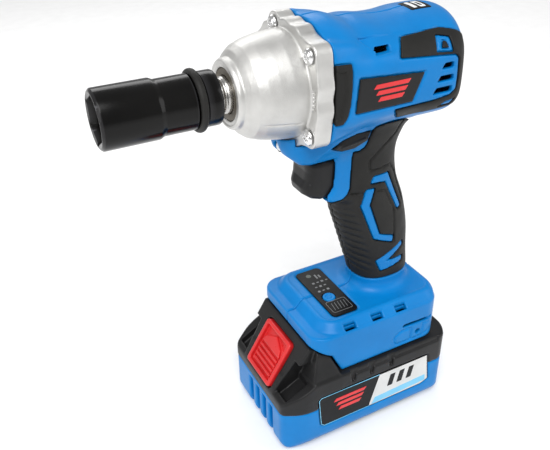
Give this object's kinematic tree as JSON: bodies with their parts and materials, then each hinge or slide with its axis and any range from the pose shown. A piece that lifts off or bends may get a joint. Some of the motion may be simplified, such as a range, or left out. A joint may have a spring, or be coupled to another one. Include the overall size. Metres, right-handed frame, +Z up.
{
  "type": "impact wrench",
  "caption": "Pistol-grip cordless impact wrench with a square-drive anvil and impact socket, rubber-gripped handle and a slide-on battery pack in its foot.",
  "frame": {"origin": "centre of the battery pack's flat base", "axes": "+Z up along the tool's height, -X towards the nose and socket, -Y to the tool's left side"},
  "size_m": [0.1924, 0.075, 0.2537],
  "materials": {
    "blue_plastic": "semi-gloss moulded plastic",
    "black_rubber": "matt moulded rubber",
    "black_plastic": "satin moulded plastic",
    "impact_steel": "black phosphate and oil, glossy",
    "cast_aluminium": "satin die-cast aluminium",
    "steel": "machined and hardened steel",
    "chrome": "bright zinc plating",
    "spring_steel": "oiled spring steel",
    "copper": "laminated core with enamelled copper",
    "bronze": "sintered bronze, oil filled",
    "circuit_board": "printed circuit board",
    "red_plastic": "gloss moulded plastic",
    "clear_lens": "clear moulded lens",
    "cell_wrap": "shrink wrapped cell",
    "label_print": "printed foil label"
  },
  "bodies": {
    "housing": {"housing_left": "blue_plastic", "grip_left": "black_rubber", "front_pad_left": "black_rubber", "badge_plate_left": "black_rubber", "rear_bumper_left": "black_rubber", "housing_right": "blue_plastic", "grip_right": "black_rubber", "front_pad_right": "black_rubber", "badge_plate_right": "black_rubber", "rear_bumper_right": "black_rubber", "housing_screw_1": "steel", "housing_screw_2": "steel", "housing_screw_3": "steel", "housing_screw_4": "steel", "housing_screw_5": "steel", "case_screw_1": "chrome", "case_screw_2": "chrome", "case_screw_3": "chrome", "case_screw_4": "chrome", "hammer_case": "cast_aluminium", "nose_bushing": "bronze", "ring_gear": "steel", "gearbox_plate": "cast_aluminium", "front_bearing": "steel", "motor_stator": "copper", "rear_bearing": "steel", "trigger_spring": "spring_steel", "switch_body": "black_plastic", "led_lens": "clear_lens", "panel_overlay": "black_plastic", "control_board": "circuit_board", "terminal_block": "black_plastic"},
    "output": {"anvil": "steel", "impact_socket": "impact_steel", "socket_ring": "black_rubber"},
    "carrier": {"cam_shaft": "steel", "cam_ball_1": "chrome", "cam_ball_2": "chrome", "hammer_spring": "spring_steel"},
    "hammer": {"hammer": "steel"},
    "planet_1": {"planet_gear_1": "steel"},
    "planet_2": {"planet_gear_2": "steel"},
    "planet_3": {"planet_gear_3": "steel"},
    "rotor": {"motor_shaft": "steel", "motor_rotor": "spring_steel", "motor_fan": "black_plastic"},
    "trigger": {"trigger": "black_plastic"},
    "direction": {"direction_lever": "black_plastic"},
    "mode": {"mode_button": "blue_plastic"},
    "battery": {"battery_lower_case": "blue_plastic", "battery_upper_case": "black_plastic", "battery_label_left": "label_print", "battery_label_right": "label_print", "cell_row_lower": "cell_wrap", "cell_row_upper": "cell_wrap", "battery_board": "circuit_board", "release_spring": "spring_steel"},
    "release": {"release_button": "red_plastic"}
  },
  "joints": [
    {"name": "output_spin", "type": "hinge", "parent": "housing", "child": "output", "pos_m": [0, 0, 0.2214], "axis": [1, 0, 0], "continuous": true},
    {"name": "carrier_spin", "type": "hinge", "parent": "housing", "child": "carrier", "pos_m": [0, 0, 0.2214], "axis": [1, 0, 0], "continuous": true},
    {"name": "rotor_spin", "type": "hinge", "parent": "housing", "child": "rotor", "pos_m": [0, 0, 0.2214], "axis": [1, 0, 0], "continuous": true},
    {"name": "planet_spin_1", "type": "hinge", "parent": "carrier", "child": "planet_1", "pos_m": [0, 0.0108, 0.2214], "axis": [1, 0, 0], "continuous": true},
    {"name": "planet_spin_2", "type": "hinge", "parent": "carrier", "child": "planet_2", "pos_m": [0, -0.0054, 0.23075], "axis": [1, 0, 0], "continuous": true},
    {"name": "planet_spin_3", "type": "hinge", "parent": "carrier", "child": "planet_3", "pos_m": [0, -0.0054, 0.21205], "axis": [1, 0, 0], "continuous": true},
    {"name": "hammer_slide", "type": "slide", "parent": "carrier", "child": "hammer", "axis": [1, 0, 0], "range_m": [0, 0.008], "stiffness_N_per_m": 2500, "deforming": ["hammer_spring"]},
    {"name": "trigger_pull", "type": "slide", "parent": "housing", "child": "trigger", "axis": [1, 0, 0], "range_m": [0, 0.006], "stiffness_N_per_m": 400, "deforming": ["trigger_spring"]},
    {"name": "direction_shift", "type": "slide", "parent": "housing", "child": "direction", "axis": [0, 1, 0], "range_m": [-0.0025, 0.0025]},
    {"name": "mode_press", "type": "slide", "parent": "housing", "child": "mode", "axis": [0, 0, -1], "range_m": [0, 0.001], "stiffness_N_per_m": 300},
    {"name": "battery_slide", "type": "slide", "parent": "housing", "child": "battery", "axis": [-1, 0, 0], "range_m": [0, 0.09]},
    {"name": "release_press", "type": "slide", "parent": "battery", "child": "release", "axis": [0.8509, 0, -0.5254], "range_m": [0, 0.003], "stiffness_N_per_m": 600, "deforming": ["release_spring"]}
  ],
  "couplings": [
    {"joint": "carrier_spin", "follows": "output_spin", "ratio": 1},
    {"joint": "rotor_spin", "follows": "output_spin", "ratio": 5.3333},
    {"joint": "planet_spin_1", "follows": "output_spin", "ratio": -2.6},
    {"joint": "planet_spin_2", "follows": "output_spin", "ratio": -2.6},
    {"joint": "planet_spin_3", "follows": "output_spin", "ratio": -2.6}
  ]
}
